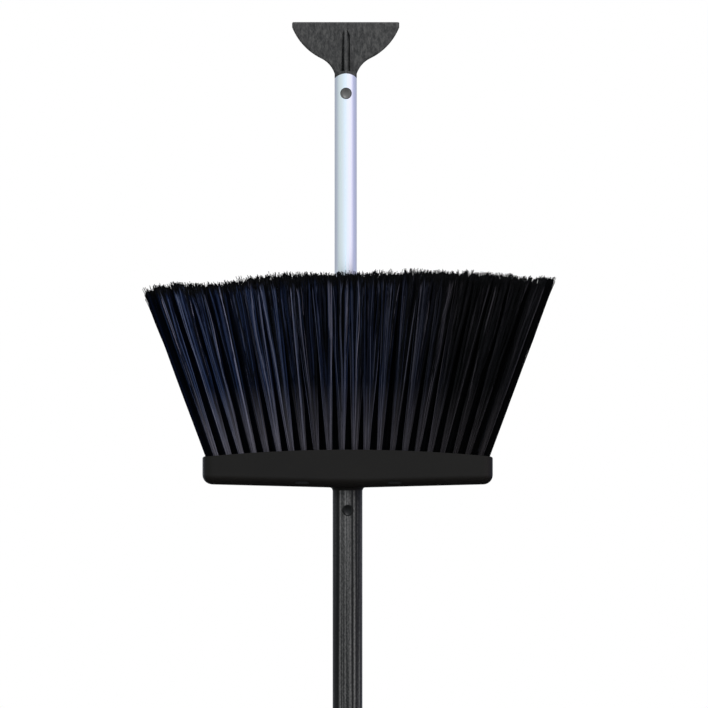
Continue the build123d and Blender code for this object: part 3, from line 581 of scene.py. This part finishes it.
def applyTree(name, tree, values):
    # runs the tree on an empty mesh and keeps the result as a plain mesh
    holder = bpy.data.objects.new(name, bpy.data.meshes.new(name))
    bpy.context.scene.collection.objects.link(holder)
    modifier = holder.modifiers.new("nodes", "NODES")
    modifier.node_group = tree
    sockets = {item.name: item.identifier for item in tree.interface.items_tree
               if item.in_out == "INPUT"}
    for key, value in values.items():
        modifier[sockets[key]] = value
    graph = bpy.context.evaluated_depsgraph_get()
    mesh = bpy.data.meshes.new_from_object(holder.evaluated_get(graph))
    holder.modifiers.remove(modifier)
    holder.data = mesh
    mesh.name = name
    return holder


def makeBristles():
    head = broomHead
    tree = bristleTree(head)
    # the outer rows get the painted-lit fibre, and the rows behind the painted-shaded one
    outer = bristleFibre("litOuterBristle", litOuterBristle)
    inner = bristleFibre("shadedInnerBristle", shadedInnerBristle)
    rowHalf = head["rowPitch"] * (head["rows"] - 1) / 2
    for row in range(head["rows"]):
        y = row * head["rowPitch"] - rowHalf
        showing = row in (0, head["rows"] - 1)
        piece = applyTree(f"bristle_row_{row + 1}", tree, {
            "Tufts": head["columns"] - (row + 1) % 2,
            "Pitch": head["span"] / (head["columns"] - 1),
            "Row": y,
            "Row Slope": math.tan(math.radians(head["leanY"]) * y / rowHalf),
            "Face": head["crown"] - head["recess"],
            "Trim": head["crown"] + head["trim"],
            "Seed": head["seed"] + row,
            "Material": outer if showing else inner,
            **head["showing" if showing else "hidden"],
        })
        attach(piece, "broom")
        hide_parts(f"tuft_row_{row + 1}")
        print(piece.name, len(piece.data.polygons), "faces")


def makeFloor():
    look = {"half": 1.6, "colour": "#f1f1f1", "rough": 0.7, "gloss": 0.2}
    half = look["half"]
    mesh = bpy.data.meshes.new("floor")
    mesh.from_pydata([(-half, -half, 0), (half, -half, 0), (half, half, 0), (-half, half, 0)],
                     [], [(0, 1, 2, 3)])
    floor = bpy.data.objects.new("floor", mesh)
    bpy.context.scene.collection.objects.link(floor)
    material = newMaterial("paleFloor", {"Roughness": look["rough"],
                                         "Specular IOR Level": look["gloss"],
                                         "Base Color": hexColour(look["colour"])})[0]
    mesh.materials.append(material)
    floor.visible_glossy = False              # so that the set's undersides stay dark


def makeWorld():
    # white to the eye; as a light it is a ring of softboxes with tinted sides, dim below the
    # set. Each stop is an azimuth from the camera's side, right positive.
    look = {
        "ring": [(-180, "#b4b8bd"), (-140, "#989ea8"), (-100, "#a9b2bb"), (-70, "#cbd7d6"),
                 (-40, "#d6e2e3"), (-8, "#def0fa"), (30, "#e9ebf6"), (62, "#f1effe"),
                 (80, "#b0b4d2"), (140, "#9ba0b4"), (180, "#b4b8bd")],
        "glossy": 1.3,
        "soft": "#f0f0ee",
        "diffuse": 0.42,
        "lowFade": (-0.35, 0.12),  # how far down the ring fades, and what is left of it there
    }
    world = bpy.data.worlds.new("studio")
    bpy.context.scene.world = world
    world.use_nodes = True
    tree = world.node_tree
    tree.nodes.clear()
    place = addNode(tree, "ShaderNodeTexCoord")
    part = addNode(tree, "ShaderNodeSeparateXYZ", links={0: place.outputs["Generated"]})
    ray = addNode(tree, "ShaderNodeLightPath")
    toCamera = addNode(tree, "ShaderNodeMath", {"operation": "MULTIPLY", 1: -1.0},
                       {0: part.outputs["Y"]})
    azimuth = addNode(tree, "ShaderNodeMath", {"operation": "ARCTAN2"},
                      {0: part.outputs["X"], 1: toCamera.outputs["Value"]})
    around = addNode(tree, "ShaderNodeMapRange", {"From Min": -math.pi, "From Max": math.pi},
                     {"Value": azimuth.outputs["Value"]})
    ring = addNode(tree, "ShaderNodeValToRGB",
                   {"stops": [((angle + 180) / 360, colour) for angle, colour in look["ring"]]},
                   {"Fac": around.outputs["Result"]})
    # the ring for reflections, plain white for soft light, which is sampled as no ray type
    tint = addNode(tree, "ShaderNodeMix", {"data_type": "RGBA", 6: look["soft"]},
                   {0: ray.outputs["Is Glossy Ray"], 7: ring.outputs["Color"]})
    fromBelow = addNode(tree, "ShaderNodeMapRange", {"From Min": look["lowFade"][0],
                                                     "From Max": 0.0,
                                                     "To Min": look["lowFade"][1], "To Max": 1.0},
                        {"Value": part.outputs["Z"]})
    level = addNode(tree, "ShaderNodeMapRange", {"To Min": look["diffuse"],
                                                 "To Max": look["glossy"]},
                    {"Value": ray.outputs["Is Glossy Ray"]})
    strength = addNode(tree, "ShaderNodeMath", {"operation": "MULTIPLY"},
                       {0: fromBelow.outputs["Result"], 1: level.outputs["Result"]})
    light = addNode(tree, "ShaderNodeBackground", links={"Color": tint.outputs[2],
                                                         "Strength": strength.outputs["Value"]})
    plain = addNode(tree, "ShaderNodeBackground", {"Color": "#ffffff", "Strength": 1.0})
    both = addNode(tree, "ShaderNodeMixShader", links={0: ray.outputs["Is Camera Ray"],
                                                       1: light.outputs[0], 2: plain.outputs[0]})
    addNode(tree, "ShaderNodeOutputWorld", links={0: both.outputs[0]})


def makeLights():
    # azimuth 0 is the camera's side and 90 the right; height is over the set's top
    lights = {
        "keyRight": {"azimuth": 26, "height": 1.5, "distance": 1.8, "size": (0.6, 0.9),
                     "power": 46, "colour": "#ffffff", "mirrored": True},
        "fillLeft": {"azimuth": -42, "height": 0.6, "distance": 2.2, "size": (0.9, 0.9),
                     "power": 14, "colour": "#f4f6ff", "mirrored": False},
        "backSoft": {"azimuth": 165, "height": 0.7, "distance": 2.4, "size": (0.9, 0.9),
                     "power": 14, "colour": "#ffffff", "mirrored": False},
    }
    aimShare = 0.75            # of the set's height
    aim = Vector((0, 0, setTop * aimShare))
    for name, look in lights.items():
        turn = math.radians(look["azimuth"])
        place = Vector((math.sin(turn) * look["distance"], -math.cos(turn) * look["distance"],
                        setTop + look["height"]))
        data = bpy.data.lights.new(name, "AREA")
        data.shape = "RECTANGLE"
        data.size, data.size_y = look["size"]
        data.energy = look["power"]
        data.color = hexColour(look["colour"])[:3]
        lamp = bpy.data.objects.new(name, data)
        bpy.context.scene.collection.objects.link(lamp)
        lamp.location = place
        lamp.rotation_euler = (aim - place).to_track_quat("-Z", "Y").to_euler()
        lamp.visible_camera = False
        lamp.visible_glossy = look["mirrored"]


def makeCamera():
    # head on from far off, a little from the left, so the broom stands right of the handle
    view = {"width": 605 * mm, "distance": 18.0, "topMargin": 18.9 * mm, "shiftRight": 7.1 * mm,
            "turn": 1.9, "sensor": 36, "clip": (0.1, 100)}
    data = bpy.data.cameras.new("camera")
    data.sensor_width = view["sensor"]
    data.lens = data.sensor_width * view["distance"] / view["width"]
    data.clip_start, data.clip_end = view["clip"]
    camera = bpy.data.objects.new("camera", data)
    bpy.context.scene.collection.objects.link(camera)
    turn = math.radians(view["turn"])
    ahead = Vector((math.sin(turn), math.cos(turn), 0))
    aside = Vector((math.cos(turn), -math.sin(turn), 0))
    height = setTop + view["topMargin"] - view["width"] / 2
    camera.location = aside * view["shiftRight"] - ahead * view["distance"] + Vector((0, 0, height))
    camera.rotation_euler = (math.radians(90), 0, -turn)
    bpy.context.scene.camera = camera


bpy.context.scene.view_settings.view_transform = "Standard"
makeCamera()
makeWorld()
makeLights()
makeFloor()
print("camera, studio and floor made")
dressCadNodes()
makeBristles()
